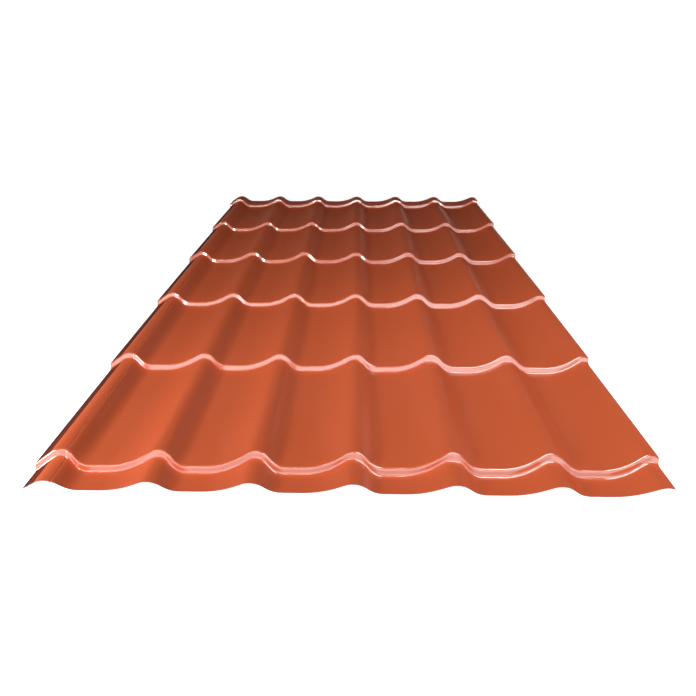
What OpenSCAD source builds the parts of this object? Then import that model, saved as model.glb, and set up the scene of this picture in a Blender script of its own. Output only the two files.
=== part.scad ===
/* [Sheet] */
// Thickness of the coated steel
sheet_t = 0.5; // [0.4:0.05:0.7]
// Number of steps pressed across the sheet
tile_rows = 6; // [2:1:7]
// Length of one tile, from one step to the next
tile_length = 350; // [300:5:400]
// Flap in front of the first step
front_flap = 47; // [30:1:80]
// Flap behind the last step
back_flap = 75; // [60:1:120]

/* [Waves] */
// Number of wave crests across the sheet
crests = 7; // [2:1:7]
// Distance from one crest to the next
wave_pitch = 183.33; // [175:0.01:200]
// Height of a crest above the pan between two crests
wave_height = 21.5; // [18:0.5:26]
// Bend radius over the top of a crest
crest_radius = 36; // [26:1:42]
// Bend radius at the foot of a crest's steep side
foot_radius = 44; // [24:1:50]
// Bend radius of the long hollow on a crest's gentle side
hollow_radius = 170; // [110:5:180]
// Angle of a crest's steep side
steep_angle = 37; // [32:1:42]
// Angle of a crest's gentle side
gentle_angle = 23; // [20:1:26]

/* [Side laps] */
// Angle at which the overlapping edge turns down
lap_angle = 31; // [20:1:38]
// Distance from the first crest to the overlapping edge
lap_reach = 44; // [34:1:48]
// Angle at which the edge that lies under the next sheet turns down
underlap_angle = 18; // [10:1:24]
// Distance from the last crest to the edge that lies under the next sheet
underlap_reach = 14; // [13:1:26]
// Distance from the first crest to its drip groove
groove_offset = 11; // [9:0.5:13]
// Width of the drip groove
groove_width = 3; // [2:0.5:5]
// Depth of the drip groove
groove_depth = 1.5; // [0.8:0.1:2]

/* [Tile steps] */
// Rise of a step from the end of one tile to the start of the next
step_height = 14; // [8:0.5:18]
// Distance that a step leans back from its foot to its top
step_run = 5; // [2:0.5:8]
// Bend radius at the foot and at the top of a step
step_radius = 6; // [2:0.5:7]
// How far a step line sweeps back on a crest, for each millimetre of wave height
step_sweep = 0.9; // [0:0.05:1]

/* [Detail] */
// Flat facets in each tight bend of a wave
bend_facets = 2; // [1:1:2]
// Flat facets in the long hollow of a wave
hollow_facets = 3; // [2:1:3]
// Flat facets in each bend of a step
step_facets = 2; // [1:1:2]

/* [Hidden] */

coat_colour = [0.70, 0.33, 0.21];

// Largest radius that leaves a straight piece on a side of the angle a
function fitting_radius(r, a) = min(r, 0.95 * wave_height / (1 - cos(a)) - crest_radius);
foot_r = fitting_radius(foot_radius, steep_angle);
hollow_r = fitting_radius(hollow_radius, gentle_angle);

// Slope of a tile, which falls by one step height from its front to the foot of the next step
tile_slope = step_height / (tile_length - step_run);
sheet_length = front_flap + (tile_rows - 1) * tile_length + step_run + back_flap;
cover_width = (crests - 1) * wave_pitch;
sheet_width = lap_reach + cover_width + underlap_reach;

// Extra length at each end, which is trimmed off straight
trim = step_sweep * wave_height + 5;

// Points of an arc from the angle a0 to the angle a1
function arc(centre, r, a0, a1, n) =
    [for (i = [0 : n]) let (a = a0 + (a1 - a0) * i / n) centre + r * [cos(a), sin(a)]];

// Heading of the line from p to q
function heading(p, q) = atan2(q.y - p.y, q.x - p.x);

// Line shifted along X, or turned end for end
function shifted(line, dx) = [for (p = line) p + [dx, 0]];
function mirrored(line) = [for (i = [len(line) - 1 : -1 : 0]) [-line[i].x, line[i].y]];

// Bend of radius r that rounds a corner between the headings h0 and h1
function bend(corner, h0, h1, r, n) =
    let (
        side = sign(h1 - h0),
        reach = r * tan(abs(h1 - h0) / 2),
        centre = corner - reach * [cos(h0), sin(h0)] + side * r * [-sin(h0), cos(h0)]
    )
    arc(centre, r, h0 - side * 90, h1 - side * 90, n);

// Line that runs parallel to another, the distance t below it
function below(line, t) =
    let (last = len(line) - 1)
    [for (i = [0 : last])
        let (
            h0 = heading(line[max(i - 1, 0)], line[max(i, 1)]),
            h1 = heading(line[min(i, last - 1)], line[min(i + 1, last)]),
            h = (h0 + h1) / 2
        )
        line[i] + t / cos((h1 - h0) / 2) * [sin(h), -cos(h)]];

// Point of a crest's bend, a degrees round from its top and a little way below the bend
function crest_point(a, sink = 0) =
    [0, wave_height - crest_radius] + (crest_radius - sink) * [sin(a), cos(a)];

// Crest's bend from the angle a0 to the angle a1, without its first point
function crest_bend(a0, a1, n = bend_facets) = [for (i = [1 : n]) crest_point(a0 + (a1 - a0) * i / n)];

// Crest's bend with the drip groove folded into it
function grooved_bend(a) =
    let (
        a0 = asin((groove_offset - groove_width / 2) / crest_radius),
        a1 = asin((groove_offset + groove_width / 2) / crest_radius)
    )
    [crest_point(a0), crest_point((a0 + a1) / 2, groove_depth), crest_point(a1), crest_point(a)];

// Bend of radius r at the foot of a crest's side, which falls at the angle a
function foot_bend(a, r, n) =
    let (
        fall = wave_height - (crest_radius + r) * (1 - cos(a)),
        centre = [(crest_radius + r) * sin(a) + fall / tan(a), r]
    )
    arc(centre, r, 270 - a, 270, n);

// One wave from crest to crest: down the steep side, along the pan and up the gentle side
function wave(first) = concat(
    first ? grooved_bend(steep_angle) : crest_bend(0, steep_angle),
    foot_bend(steep_angle, foot_r, bend_facets),
    shifted(mirrored(foot_bend(gentle_angle, hollow_r, hollow_facets)), wave_pitch),
    shifted([crest_point(-gentle_angle)], wave_pitch),
    shifted(crest_bend(-gentle_angle, 0), wave_pitch)
);

// Edge of the sheet, where the straight side of a crest that falls at the angle a ends
function edge_point(a, reach) =
    let (p = crest_point(a)) [reach, p.y - (reach - p.x) * tan(a)];

// Line across the sheet, x against height, from the overlapping edge to the other
wave_line = concat(
    mirrored([crest_point(lap_angle), edge_point(lap_angle, lap_reach)]),
    crest_bend(-lap_angle, 0),
    [for (k = [0 : crests - 2]) each shifted(wave(k == 0), k * wave_pitch)],
    shifted(crest_bend(0, underlap_angle), cover_width),
    shifted([edge_point(underlap_angle, underlap_reach)], cover_width)
);

// Line up the sheet, y against height, over every step, with the extra length at both ends
fall_heading = -atan(tile_slope);
rise_heading = atan2(step_height, step_run);
step_line = concat(
    [[-trim, tile_slope * (front_flap + trim)]],
    [for (k = [0 : tile_rows - 1])
        let (foot = [front_flap + k * tile_length, 0], top = foot + [step_run, step_height])
        each concat(
            bend(foot, fall_heading, rise_heading, step_radius, step_facets),
            bend(top, rise_heading, fall_heading, step_radius, step_facets)
        )],
    [[sheet_length + trim, step_height - tile_slope * (back_flap + trim)]]
);

// Every point of one line carried along the other, which makes each facet a flat parallelogram
function swept(across, along) =
    [for (p = across) each [for (q = along) [p.x, q.x + step_sweep * p.y, p.y + q.y]]];

// The underside is the parallel of both lines, and one thickness counts only once
under_wave_line = below(wave_line, sheet_t);
under_step_line = [for (p = below(step_line, sheet_t)) p + [0, sheet_t]];

// Faces between a top grid and a bottom grid of nx by ny points
function sheet_faces(nx, ny) =
    let (
        mx = nx - 1,
        my = ny - 1,
        top = function (i, j) i * ny + j,
        low = function (i, j) nx * ny + i * ny + j
    )
    concat(
        [for (i = [0 : mx - 1], j = [0 : my - 1])
            [top(i, j), top(i, j + 1), top(i + 1, j + 1), top(i + 1, j)]],
        [for (i = [0 : mx - 1], j = [0 : my - 1])
            [low(i, j), low(i + 1, j), low(i + 1, j + 1), low(i, j + 1)]],
        [for (j = [0 : my - 1]) [top(0, j + 1), top(0, j), low(0, j), low(0, j + 1)]],
        [for (j = [0 : my - 1]) [top(mx, j), top(mx, j + 1), low(mx, j + 1), low(mx, j)]],
        [for (i = [0 : mx - 1]) [top(i, 0), top(i + 1, 0), low(i + 1, 0), low(i, 0)]],
        [for (i = [0 : mx - 1]) [top(i + 1, my), top(i, my), low(i, my), low(i + 1, my)]]
    );

// The sheet rests on the feet of its steps, under the pans
rest_height = sheet_t - min([for (p = under_step_line) p.y]);

module pressed_strip() {
    polyhedron(
        points = concat(swept(wave_line, step_line), swept(under_wave_line, under_step_line)),
        faces = sheet_faces(len(wave_line), len(step_line)),
        convexity = 10
    );
}

module roofing_sheet() {
    reach = 2 * (step_height + wave_height);
    color(coat_colour)
    translate([lap_reach - sheet_width / 2, -sheet_length / 2, rest_height])
    intersection() {
        pressed_strip();
        translate([-sheet_width, 0, -reach]) cube([3 * sheet_width, sheet_length, 2 * reach]);
    }
}

roofing_sheet();
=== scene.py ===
from math import asin, atan, atan2, cos, degrees, pi, radians, sin, tan

import bpy
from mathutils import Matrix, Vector

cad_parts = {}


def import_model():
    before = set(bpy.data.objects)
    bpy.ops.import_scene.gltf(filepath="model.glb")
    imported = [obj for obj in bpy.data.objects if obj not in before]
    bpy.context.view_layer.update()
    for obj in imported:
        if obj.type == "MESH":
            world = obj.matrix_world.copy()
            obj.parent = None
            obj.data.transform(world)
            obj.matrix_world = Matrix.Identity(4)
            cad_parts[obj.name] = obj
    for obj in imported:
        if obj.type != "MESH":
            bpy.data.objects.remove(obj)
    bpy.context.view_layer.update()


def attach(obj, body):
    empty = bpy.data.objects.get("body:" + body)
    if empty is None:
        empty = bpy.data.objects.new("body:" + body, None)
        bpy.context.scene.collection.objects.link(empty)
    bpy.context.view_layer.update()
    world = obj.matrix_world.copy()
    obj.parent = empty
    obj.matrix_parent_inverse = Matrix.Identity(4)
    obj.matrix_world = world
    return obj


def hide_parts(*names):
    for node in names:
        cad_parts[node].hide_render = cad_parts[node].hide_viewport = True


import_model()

MM = 0.001

# Sizes of the sheet in millimetres and degrees, as the solid has them
SHEET_T = 0.5
TILE_ROWS = 6
TILE_LENGTH = 350.0
FRONT_FLAP = 47.0
BACK_FLAP = 75.0
CRESTS = 7
WAVE_PITCH = 183.33
WAVE_HEIGHT = 21.5
CREST_RADIUS = 36.0
FOOT_RADIUS = 44.0
HOLLOW_RADIUS = 170.0
STEEP_ANGLE = 37.0
GENTLE_ANGLE = 23.0
LAP_ANGLE = 31.0
LAP_REACH = 44.0
UNDERLAP_ANGLE = 18.0
UNDERLAP_REACH = 14.0
GROOVE_OFFSET = 11.0
GROOVE_WIDTH = 3.0
GROOVE_DEPTH = 1.5
STEP_HEIGHT = 14.0
STEP_RUN = 5.0
STEP_RADIUS = 6.0
STEP_SWEEP = 0.9

TILE_SLOPE = STEP_HEIGHT / (TILE_LENGTH - STEP_RUN)
SHEET_LENGTH = FRONT_FLAP + (TILE_ROWS - 1) * TILE_LENGTH + STEP_RUN + BACK_FLAP
COVER_WIDTH = (CRESTS - 1) * WAVE_PITCH
SHEET_WIDTH = LAP_REACH + COVER_WIDTH + UNDERLAP_REACH

# Facets of the smooth mesh
BEND_FACETS = 7
HOLLOW_FACETS = 9
STEP_FACETS = 7
GROOVE_FACETS = 8
BEFORE_GROOVE_FACETS = 3
AFTER_GROOVE_FACETS = 4
FLAT_FACETS = 2
TILE_FACETS = 5

# Shorter straight pieces stay in one facet, in millimetres
STRAIGHT_LIMIT = 6.0
# Plain bend between the groove and the facets beside it, in degrees
GROOVE_MARGIN = 0.8
# What the step line has to spare at both ends before it is trimmed, in millimetres
TRIM_SPARE = 5.0
# Corners above this angle are shaded as edges, in degrees
SHARP_ANGLE = 60.0
# Faces of the overlapping edge that slope more along the sheet than this are parts of a step and keep
# the coat; the flatter ones get the painted shade
LAP_SLOPE = 0.2

# Material slots of the sheet, in the order of their materials
COAT, BACK_COAT, CUT_STEEL, SHADED_LAP = range(4)

# Colours in linear light, each with the level of the noise where it is full
COAT_TONES = [(0.30, (0.560, 0.099, 0.033)), (0.70, (0.620, 0.111, 0.038))]
# The overlapping edge's tones are painted shade, about a quarter as bright as the coat
LAP_PAINTED_SHADE_TONES = [(0.30, (0.135, 0.026, 0.014)), (0.70, (0.175, 0.034, 0.018))]
BACK_COAT_TONES = [(0.35, (0.40, 0.40, 0.385)), (0.65, (0.47, 0.47, 0.455))]
CUT_STEEL_TONES = [(0.35, (0.20, 0.15, 0.13)), (0.65, (0.40, 0.38, 0.36))]
# Painted shade along the rim of the overlapping edge
LAP_RIM_PAINTED_SHADE = (0.040, 0.009, 0.006, 1)
FLOOR_COLOUR = (0.6, 0.6, 0.6, 1)
WHITE = (1, 1, 1, 1)

# Where the gloss of the coat starts to fall off and where it has gone, as Layer Weight's Facing
GRAZE = (0.3, 0.62)
GRAZING_ROUGHNESS = 0.55
# Distances from the rim of the overlapping edge where its band of painted shade starts and is full, in
# millimetres
LAP_RIM_SHADE_SPAN = (9.0, 3.0)
# Heights of the bumps in the coats, in metres
FLOW_DEPTH = 0.08 * MM
PEEL_DEPTH = 0.008 * MM
GRAIN_DEPTH = 0.01 * MM

# Camera in metres and degrees, its sensor in millimetres, the photograph and focal length in pixels
PHOTO_SIZE = 696
CAMERA_FOCAL_PX = 533.0
CAMERA_PITCH = 30.6
CAMERA_YAW = 1.0
CAMERA_PLACE = (0.018, -1.6225, 0.7076)
CAMERA_REACH = 200.0
SENSOR_WIDTH = 36.0

# Round floor and backdrop, in metres
STUDIO_RADIUS = 70.0
STUDIO_FACETS = 96
BACKDROP_HEIGHT = 45.0
# Heights on the backdrop behind the sheet, each with its brightness
BACKDROP_FADE = [(4.2, 1.0), (6.5, 0.5), (9.5, 0.3), (13.0, 0.2), (24.0, 0.05)]
# Degrees from straight behind the sheet where that fade starts and where it is full
FADE_SECTOR = (64, 50)
# Brightness of the floor under the sheet, and the distances over which it rises to white
FLOOR_GLOW = 0.88
GLOW_REACH = (1.1, 3.0)

# Light of the room in front of the sheet and behind it, and the directions between which it changes
WORLD_FRONT = 0.08
WORLD_BACK = 0.03
WORLD_TURN = (-0.6, 0.3)

# Lamps: name, place, point that it faces, width and height, watts
LAMPS = [
    ("wall_left", (-2.3, -4.2, 0.9), (-0.7, -0.2, 0.3), (2.3, 1.4), 13.0),
    ("wall_middle", (0.0, -4.2, 0.9), (0.0, -0.2, 0.3), (2.3, 1.4), 13.0),
    ("wall_right", (2.3, -4.2, 0.9), (0.7, -0.2, 0.3), (2.3, 1.4), 13.0),
    ("strip", (0.1, -2.3, 1.9), (0.1, -0.6, 0.0), (3.8, 0.05), 24.0),
    ("near_right", (0.6, -0.9, 1.3), (0.6, -0.8, 0.0), (0.8, 0.4), 10.0),
    ("near_left", (-1.5, -1.5, 0.8), (0.1, -0.8, 0.0), (0.45, 0.45), 25.0),
    ("back_right", (2.9, 5.0, 0.18), (0.3, 0.2, 0.0), (3.0, 0.3), 14.0),
]


# Lines across and along the sheet

def arc(centre, r, a0, a1, n):
    """Points of an arc between two angles in degrees."""
    steps = [radians(a0 + (a1 - a0) * i / n) for i in range(n + 1)]
    return [(centre[0] + r * cos(a), centre[1] + r * sin(a)) for a in steps]


def shifted(line, dx):
    """The line moved along by dx."""
    return [(x + dx, z) for x, z in line]


def mirrored(line):
    """The line mirrored, with its points in reverse so that x still grows."""
    return [(-x, z) for x, z in reversed(line)]


def crest_point(a, sink=0.0):
    """Point of a crest's bend, a degrees round from its top and sunk below the bend."""
    a = radians(a)
    return ((CREST_RADIUS - sink) * sin(a), WAVE_HEIGHT - CREST_RADIUS + (CREST_RADIUS - sink) * cos(a))


def crest_bend(a0, a1, n=BEND_FACETS):
    """Points of a crest's bend between two angles, without the first."""
    return [crest_point(a0 + (a1 - a0) * i / n) for i in range(1, n + 1)]


def grooved_bend(a):
    """Crest's bend with the rounded drip groove folded into it."""
    a0 = degrees(asin((GROOVE_OFFSET - GROOVE_WIDTH / 2) / CREST_RADIUS))
    a1 = degrees(asin((GROOVE_OFFSET + GROOVE_WIDTH / 2) / CREST_RADIUS))
    groove = []
    for i in range(GROOVE_FACETS + 1):
        part = i / GROOVE_FACETS
        sink = GROOVE_DEPTH / 2 * (1 - cos(2 * pi * part))
        groove.append(crest_point(a0 + (a1 - a0) * part, sink))
    return (crest_bend(0, a0 - GROOVE_MARGIN, BEFORE_GROOVE_FACETS)
            + groove
            + crest_bend(a1 + GROOVE_MARGIN, a, AFTER_GROOVE_FACETS))


def foot_bend(a, r, n):
    """Bend at the foot of a crest's side that falls at the angle a."""
    rad = radians(a)
    fall = WAVE_HEIGHT - (CREST_RADIUS + r) * (1 - cos(rad))
    return arc(((CREST_RADIUS + r) * sin(rad) + fall / tan(rad), r), r, 270 - a, 270, n)


def filled(line, n):
    """The same line with each long straight piece cut into n equal ones."""
    out = [line[0]]
    for p, q in zip(line, line[1:]):
        cuts = n if abs(q[0] - p[0]) > STRAIGHT_LIMIT else 1
        out += [(p[0] + (q[0] - p[0]) * i / cuts, p[1] + (q[1] - p[1]) * i / cuts)
                for i in range(1, cuts + 1)]
    return out


def wave(grooved):
    """One wave from crest to crest: steep side, pan, gentle side."""
    steep = grooved_bend(STEEP_ANGLE) if grooved else crest_bend(0, STEEP_ANGLE)
    hollow = mirrored(foot_bend(GENTLE_ANGLE, HOLLOW_RADIUS, HOLLOW_FACETS))
    next_crest = [crest_point(-GENTLE_ANGLE)] + crest_bend(-GENTLE_ANGLE, 0)
    return (steep
            + foot_bend(STEEP_ANGLE, FOOT_RADIUS, BEND_FACETS)
            + shifted(hollow + next_crest, WAVE_PITCH))


def edge_point(a, reach):
    """Outer end of a side edge, which runs straight on from the bend of its crest."""
    x, z = crest_point(a)
    return (reach, z - (reach - x) * tan(radians(a)))


def wave_line():
    """x against height across the sheet, from the overlapping edge to the other."""
    line = mirrored([crest_point(LAP_ANGLE), edge_point(LAP_ANGLE, LAP_REACH)])
    line += crest_bend(-LAP_ANGLE, 0)
    for k in range(CRESTS - 1):
        line += shifted(wave(k == 0), k * WAVE_PITCH)
    line += shifted(crest_bend(0, UNDERLAP_ANGLE), COVER_WIDTH)
    line += shifted([edge_point(UNDERLAP_ANGLE, UNDERLAP_REACH)], COVER_WIDTH)
    return filled(line, FLAT_FACETS)


def bend(corner, h0, h1, r, n):
    """Arc of radius r that rounds the corner between two headings in degrees."""
    side = 1 if h1 > h0 else -1
    reach = r * tan(radians(abs(h1 - h0) / 2))
    a = radians(h0)
    centre = (corner[0] - reach * cos(a) - side * r * sin(a),
              corner[1] - reach * sin(a) + side * r * cos(a))
    return arc(centre, r, h0 - side * 90, h1 - side * 90, n)


def step_line():
    """y against height up the sheet, over every step."""
    fall = -degrees(atan(TILE_SLOPE))
    rise = degrees(atan2(STEP_HEIGHT, STEP_RUN))
    trim = STEP_SWEEP * WAVE_HEIGHT + TRIM_SPARE
    line = [(-trim, TILE_SLOPE * (FRONT_FLAP + trim))]
    for k in range(TILE_ROWS):
        foot = (FRONT_FLAP + k * TILE_LENGTH, 0.0)
        top = (foot[0] + STEP_RUN, STEP_HEIGHT)
        line += bend(foot, fall, rise, STEP_RADIUS, STEP_FACETS)
        line += bend(top, rise, fall, STEP_RADIUS, STEP_FACETS)
    line.append((SHEET_LENGTH + trim, STEP_HEIGHT - TILE_SLOPE * (BACK_FLAP + trim)))
    return line


# Mesh of the sheet

def normals(line):
    """Unit normals, upwards, at the points of a line."""
    out = []
    for i in range(len(line)):
        p, q = line[max(i - 1, 0)], line[min(i + 1, len(line) - 1)]
        v = Vector((p[1] - q[1], q[0] - p[0])).normalized()
        out.append((v.x, v.y))
    return out


def clipped(y, z, y_next, z_next, limit):
    """Point at y = limit on the line through two points."""
    t = (limit - y) / (y_next - y)
    return limit, z + (z_next - z) * t


def strip(line, p):
    """The step line carried to the point p of the wave line and trimmed to the sheet's length."""
    pts = [(p[0] + q[0], p[1] + q[1]) for q in line]
    pts[0] = clipped(*pts[0], *pts[1], 0.0)
    pts[-1] = clipped(*pts[-2], *pts[-1], SHEET_LENGTH)
    return filled(pts, TILE_FACETS)


def sheet_grid(thickness):
    """Rows of points of the weather face, or of the underside a thickness below it."""
    wave_pts, step_pts = wave_line(), step_line()
    wave_n, step_n = normals(wave_pts), normals(step_pts)
    low_step = [(y - thickness * n[0], z - thickness * (n[1] - 1))
                for (y, z), n in zip(step_pts, step_n)]
    rows = []
    for (x, w), n in zip(wave_pts, wave_n):
        x_low, w_low = x - thickness * n[0], w - thickness * n[1]
        rows.append([(x_low, y, z) for y, z in strip(low_step, (STEP_SWEEP * w_low, w_low))])
    return rows


def add_object(name, data):
    """New object in the scene."""
    obj = bpy.data.objects.new(name, data)
    bpy.context.scene.collection.objects.link(obj)
    return obj


def sheet_object():
    """The whole pressed sheet as one closed, smooth mesh."""
    top, low = sheet_grid(0.0), sheet_grid(SHEET_T)
    rest = -min(z for row in low for _, _, z in row)
    across, along = len(top), len(top[0])
    verts = [((x + LAP_REACH - SHEET_WIDTH / 2) * MM, (y - SHEET_LENGTH / 2) * MM, (z + rest) * MM)
             for grid in (top, low) for row in grid for x, y, z in row]

    def t(i, j):
        """Index of a point of the weather face."""
        return i * along + j

    def u(i, j):
        """Index of the point of the underside below it."""
        return across * along + t(i, j)

    faces, slots = [], []
    for i in range(across - 1):
        for j in range(along - 1):
            (_, y0, z0), (_, y1, z1) = top[i][j], top[i][j + 1]
            # Flat faces of the overlapping edge get the painted shade; its steps keep the coat
            in_lap_shade = i < FLAT_FACETS and abs(z1 - z0) < LAP_SLOPE * (y1 - y0)
            faces.append((t(i, j), t(i + 1, j), t(i + 1, j + 1), t(i, j + 1)))
            faces.append((u(i, j), u(i, j + 1), u(i + 1, j + 1), u(i + 1, j)))
            slots += [SHADED_LAP if in_lap_shade else COAT, BACK_COAT]

    # Cut edges at both sides and at both ends
    right, back = across - 1, along - 1
    for j in range(along - 1):
        faces.append((t(0, j), t(0, j + 1), u(0, j + 1), u(0, j)))
        faces.append((t(right, j + 1), t(right, j), u(right, j), u(right, j + 1)))
        slots += [CUT_STEEL, CUT_STEEL]
    for i in range(across - 1):
        faces.append((t(i + 1, 0), t(i, 0), u(i, 0), u(i + 1, 0)))
        faces.append((t(i, back), t(i + 1, back), u(i + 1, back), u(i, back)))
        slots += [CUT_STEEL, CUT_STEEL]

    mesh = bpy.data.meshes.new("pressed_sheet")
    mesh.from_pydata(verts, [], faces)
    mesh.polygons.foreach_set("material_index", slots)
    mesh.polygons.foreach_set("use_smooth", [slot != CUT_STEEL for slot in slots])
    mesh.update()
    mesh.set_sharp_from_angle(angle=radians(SHARP_ANGLE))
    return add_object("pressed_sheet", mesh)


# Nodes

def feed(tree, value, socket):
    """Link an output to a socket, or write a number or a colour into it."""
    if isinstance(value, bpy.types.NodeSocket):
        tree.links.new(value, socket)
    else:
        socket.default_value = value


def axis(tree, coord, name):
    """One axis of a coordinate."""
    node = tree.nodes.new("ShaderNodeSeparateXYZ")
    feed(tree, coord, node.inputs["Vector"])
    return node.outputs[name]


def noise(tree, coord, scale, detail, stretch=(1, 1, 1)):
    """Noise between 0 and 1, in grains that are longer where the stretch is under 1."""
    mapping = tree.nodes.new("ShaderNodeMapping")
    mapping.inputs["Scale"].default_value = stretch
    feed(tree, coord, mapping.inputs["Vector"])
    node = tree.nodes.new("ShaderNodeTexNoise")
    node.inputs["Scale"].default_value = scale
    node.inputs["Detail"].default_value = detail
    feed(tree, mapping.outputs["Vector"], node.inputs["Vector"])
    return node.outputs["Fac"]


def ramp(tree, value, stops):
    """Colour that changes through the stops, each a level of the value with its colour."""
    node = tree.nodes.new("ShaderNodeValToRGB")
    while len(node.color_ramp.elements) < len(stops):
        node.color_ramp.elements.new(0.5)
    for element, (level, colour) in zip(node.color_ramp.elements, stops):
        element.position = level
        element.color = (*colour, 1.0)
    feed(tree, value, node.inputs["Fac"])
    return node.outputs["Color"]


def remap(tree, value, low, high, span=(0.0, 1.0), smooth=False):
    """Change from low to high while the value goes through the span."""
    node = tree.nodes.new("ShaderNodeMapRange")
    if smooth:
        node.interpolation_type = "SMOOTHSTEP"
    node.inputs["From Min"].default_value = span[0]
    node.inputs["From Max"].default_value = span[1]
    node.inputs["To Min"].default_value = low
    node.inputs["To Max"].default_value = high
    feed(tree, value, node.inputs["Value"])
    return node.outputs["Result"]


def combine(tree, operation, first, second):
    """Math node on two outputs, or on an output and a number."""
    node = tree.nodes.new("ShaderNodeMath")
    node.operation = operation
    feed(tree, first, node.inputs[0])
    feed(tree, second, node.inputs[1])
    return node.outputs[0]


def mix(tree, factor, first, second, kind="FLOAT"):
    """Change from the first number or colour to the second while the factor goes from 0 to 1."""
    node = tree.nodes.new("ShaderNodeMix")
    node.data_type = kind
    feed(tree, factor, node.inputs["Factor"])
    feed(tree, first, node.inputs["A"])
    feed(tree, second, node.inputs["B"])
    return node.outputs["Result"]


def bump(tree, bsdf, layers):
    """Chain of bumps, each a height with its distance in metres."""
    normal = None
    for height, distance in layers:
        node = tree.nodes.new("ShaderNodeBump")
        node.inputs["Strength"].default_value = 1.0
        node.inputs["Distance"].default_value = distance
        feed(tree, height, node.inputs["Height"])
        if normal:
            feed(tree, normal, node.inputs["Normal"])
        normal = node.outputs["Normal"]
    feed(tree, normal, bsdf.inputs["Normal"])
    return normal


# Materials

def new_material(name):
    """Material with its node tree, its shader and the coordinates of its object."""
    mat = bpy.data.materials.new(name)
    mat.use_nodes = True
    tree = mat.node_tree
    coord = tree.nodes.new("ShaderNodeTexCoord").outputs["Object"]
    return mat, tree, tree.nodes["Principled BSDF"], coord


def coated_face():
    """Terracotta colour coat under a clear one: even, glossy, with a fine orange peel."""
    mat, tree, bsdf, coord = new_material("terracotta_coat")
    tone = noise(tree, coord, scale=2.2, detail=4.0, stretch=(1, 0.6, 1))
    feed(tree, ramp(tree, tone, COAT_TONES), bsdf.inputs["Base Color"])

    # The gloss falls off at grazing angles
    facing = tree.nodes.new("ShaderNodeLayerWeight").outputs["Facing"]
    graze = remap(tree, facing, low=0.0, high=1.0, span=GRAZE, smooth=True)
    gloss = noise(tree, coord, scale=38.0, detail=4.0, stretch=(1, 0.3, 1))
    rough = mix(tree, graze, remap(tree, gloss, low=0.285, high=0.33), GRAZING_ROUGHNESS)
    feed(tree, rough, bsdf.inputs["Roughness"])
    feed(tree, remap(tree, graze, low=1.0, high=0.0), bsdf.inputs["Coat Weight"])

    peel = noise(tree, coord, scale=900.0, detail=2.0)
    flow = noise(tree, coord, scale=26.0, detail=2.0, stretch=(1, 0.35, 1))
    normal = bump(tree, bsdf, [(flow, FLOW_DEPTH), (peel, PEEL_DEPTH)])
    feed(tree, normal, bsdf.inputs["Coat Normal"])
    bsdf.inputs["Specular IOR Level"].default_value = 0.1
    bsdf.inputs["Coat Roughness"].default_value = 0.075
    bsdf.inputs["Coat IOR"].default_value = 2.3
    return mat


def back_coat():
    """Grey back coat with faint rolling marks along the sheet."""
    mat, tree, bsdf, coord = new_material("grey_back_coat")
    streak = noise(tree, coord, scale=60.0, detail=4.0, stretch=(1, 0.02, 1))
    feed(tree, ramp(tree, streak, BACK_COAT_TONES), bsdf.inputs["Base Color"])
    feed(tree, remap(tree, streak, low=0.42, high=0.52), bsdf.inputs["Roughness"])
    bump(tree, bsdf, [(noise(tree, coord, scale=700.0, detail=2.0), GRAIN_DEPTH)])
    return mat


def cut_edge():
    """Bare cut edge of galvanised steel, dulled in patches."""
    mat, tree, bsdf, coord = new_material("cut_steel_edge")
    patch = noise(tree, coord, scale=90.0, detail=4.0)
    feed(tree, ramp(tree, patch, CUT_STEEL_TONES), bsdf.inputs["Base Color"])
    feed(tree, remap(tree, patch, low=0.35, high=0.6), bsdf.inputs["Roughness"])
    bsdf.inputs["Metallic"].default_value = 0.8
    return mat


def dull_lap_painted_shade():
    """Duller coat of the overlapping edge, with painted shade: darker all over and darkest along its
    rim.
    """
    mat, tree, bsdf, coord = new_material("dull_lap_painted_shade")
    rub_and_shade_noise = noise(tree, coord, scale=30.0, detail=4.0, stretch=(1, 0.1, 1))
    # Painted shade: dark tones over the whole edge, darkest along its rim
    band = [(distance - SHEET_WIDTH / 2) * MM for distance in LAP_RIM_SHADE_SPAN]
    rim = remap(tree, axis(tree, coord, "X"), low=0.0, high=1.0, span=band)
    colour = mix(tree, rim, ramp(tree, rub_and_shade_noise, LAP_PAINTED_SHADE_TONES), LAP_RIM_PAINTED_SHADE, kind="RGBA")
    feed(tree, colour, bsdf.inputs["Base Color"])
    feed(tree, remap(tree, rub_and_shade_noise, low=0.85, high=1.0), bsdf.inputs["Roughness"])
    bump(tree, bsdf, [(noise(tree, coord, scale=700.0, detail=2.0), GRAIN_DEPTH)])
    bsdf.inputs["Specular IOR Level"].default_value = 0.02
    return mat


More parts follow.
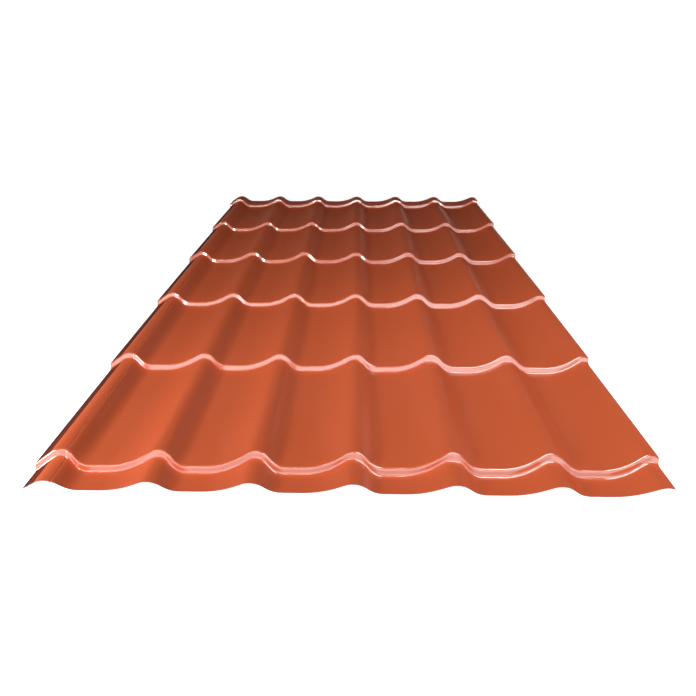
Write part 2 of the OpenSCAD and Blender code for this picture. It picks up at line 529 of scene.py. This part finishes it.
def pale_floor():
    """Pale floor and backdrop, which keep the shadow and are white to the camera and in reflections.

    Behind the sheet the backdrop fades to grey above the horizon, as in a room lit from the front.
    """
    mat, tree, bsdf, coord = new_material("pale_floor")
    bsdf.inputs["Base Color"].default_value = FLOOR_COLOUR
    bsdf.inputs["Roughness"].default_value = 0.9
    bsdf.inputs["Specular IOR Level"].default_value = 0.0
    bsdf.inputs["Emission Color"].default_value = WHITE

    path = tree.nodes.new("ShaderNodeLightPath").outputs
    seen = combine(tree, "MAXIMUM", path["Is Camera Ray"], path["Is Glossy Ray"])
    seen = combine(tree, "MAXIMUM", seen, path["Is Transmission Ray"])

    reach = tree.nodes.new("ShaderNodeVectorMath")
    reach.operation = "LENGTH"
    feed(tree, coord, reach.inputs[0])
    glow = remap(tree, reach.outputs["Value"], low=FLOOR_GLOW, high=1.0, span=GLOW_REACH, smooth=True)

    height = combine(tree, "DIVIDE", axis(tree, coord, "Z"), BACKDROP_HEIGHT)
    stops = [(at / BACKDROP_HEIGHT, (grey, grey, grey)) for at, grey in BACKDROP_FADE]
    sector = [STUDIO_RADIUS * cos(radians(angle)) for angle in FADE_SECTOR]
    behind = remap(tree, axis(tree, coord, "Y"), low=0.0, high=1.0, span=sector, smooth=True)
    dim = mix(tree, behind, 1.0, ramp(tree, height, stops))

    level = combine(tree, "MULTIPLY", glow, dim)
    feed(tree, combine(tree, "MULTIPLY", seen, level), bsdf.inputs["Emission Strength"])
    return mat


# Studio

def studio_floor():
    """Round level floor inside a round backdrop."""
    n = STUDIO_FACETS
    rim = [(STUDIO_RADIUS * cos(2 * pi * i / n), STUDIO_RADIUS * sin(2 * pi * i / n)) for i in range(n)]
    verts = [(x, y, z) for z in (0, BACKDROP_HEIGHT) for x, y in rim]
    faces = [tuple(range(n))]
    faces += [(i, (i + 1) % n, n + (i + 1) % n, n + i) for i in range(n)]
    mesh = bpy.data.meshes.new("floor")
    mesh.from_pydata(verts, [], faces)
    mesh.materials.append(pale_floor())
    obj = add_object("floor", mesh)


def area_light(name, place, target, size, watts):
    """White rectangular lamp that faces a point."""
    data = bpy.data.lights.new(name, "AREA")
    data.shape = "RECTANGLE"
    data.size, data.size_y = size
    data.energy = watts
    obj = add_object(name, data)
    obj.location = place
    obj.rotation_euler = (Vector(target) - Vector(place)).to_track_quat("-Z", "Y").to_euler()


def camera():
    """Camera in front of the eaves edge, looking down on the sheet."""
    data = bpy.data.cameras.new("camera")
    data.sensor_fit = "HORIZONTAL"
    data.sensor_width = SENSOR_WIDTH
    data.lens = CAMERA_FOCAL_PX / PHOTO_SIZE * SENSOR_WIDTH
    data.clip_end = CAMERA_REACH
    obj = add_object("camera", data)
    obj.location = CAMERA_PLACE
    obj.rotation_euler = (radians(90 - CAMERA_PITCH), 0.0, radians(CAMERA_YAW))
    bpy.context.scene.camera = obj


def world():
    """Dim studio room, paler in front of the eaves than behind the ridge edge."""
    data = bpy.data.worlds.new("studio")
    data.use_nodes = True
    tree = data.node_tree
    background = tree.nodes["Background"]
    coord = tree.nodes.new("ShaderNodeTexCoord").outputs["Generated"]
    shade = remap(tree, axis(tree, coord, "Y"), WORLD_FRONT, WORLD_BACK, span=WORLD_TURN, smooth=True)
    feed(tree, shade, background.inputs["Strength"])
    background.inputs["Color"].default_value = WHITE
    bpy.context.scene.world = data


# Scene

camera()
world()
studio_floor()
for lamp in LAMPS:
    area_light(*lamp)

sheet = sheet_object()
for material in (coated_face(), back_coat(), cut_edge(), dull_lap_painted_shade()):
    sheet.data.materials.append(material)
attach(sheet, "root")
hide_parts("roofing_sheet")

bpy.context.scene.view_settings.view_transform = "Standard"
bpy.context.view_layer.update()
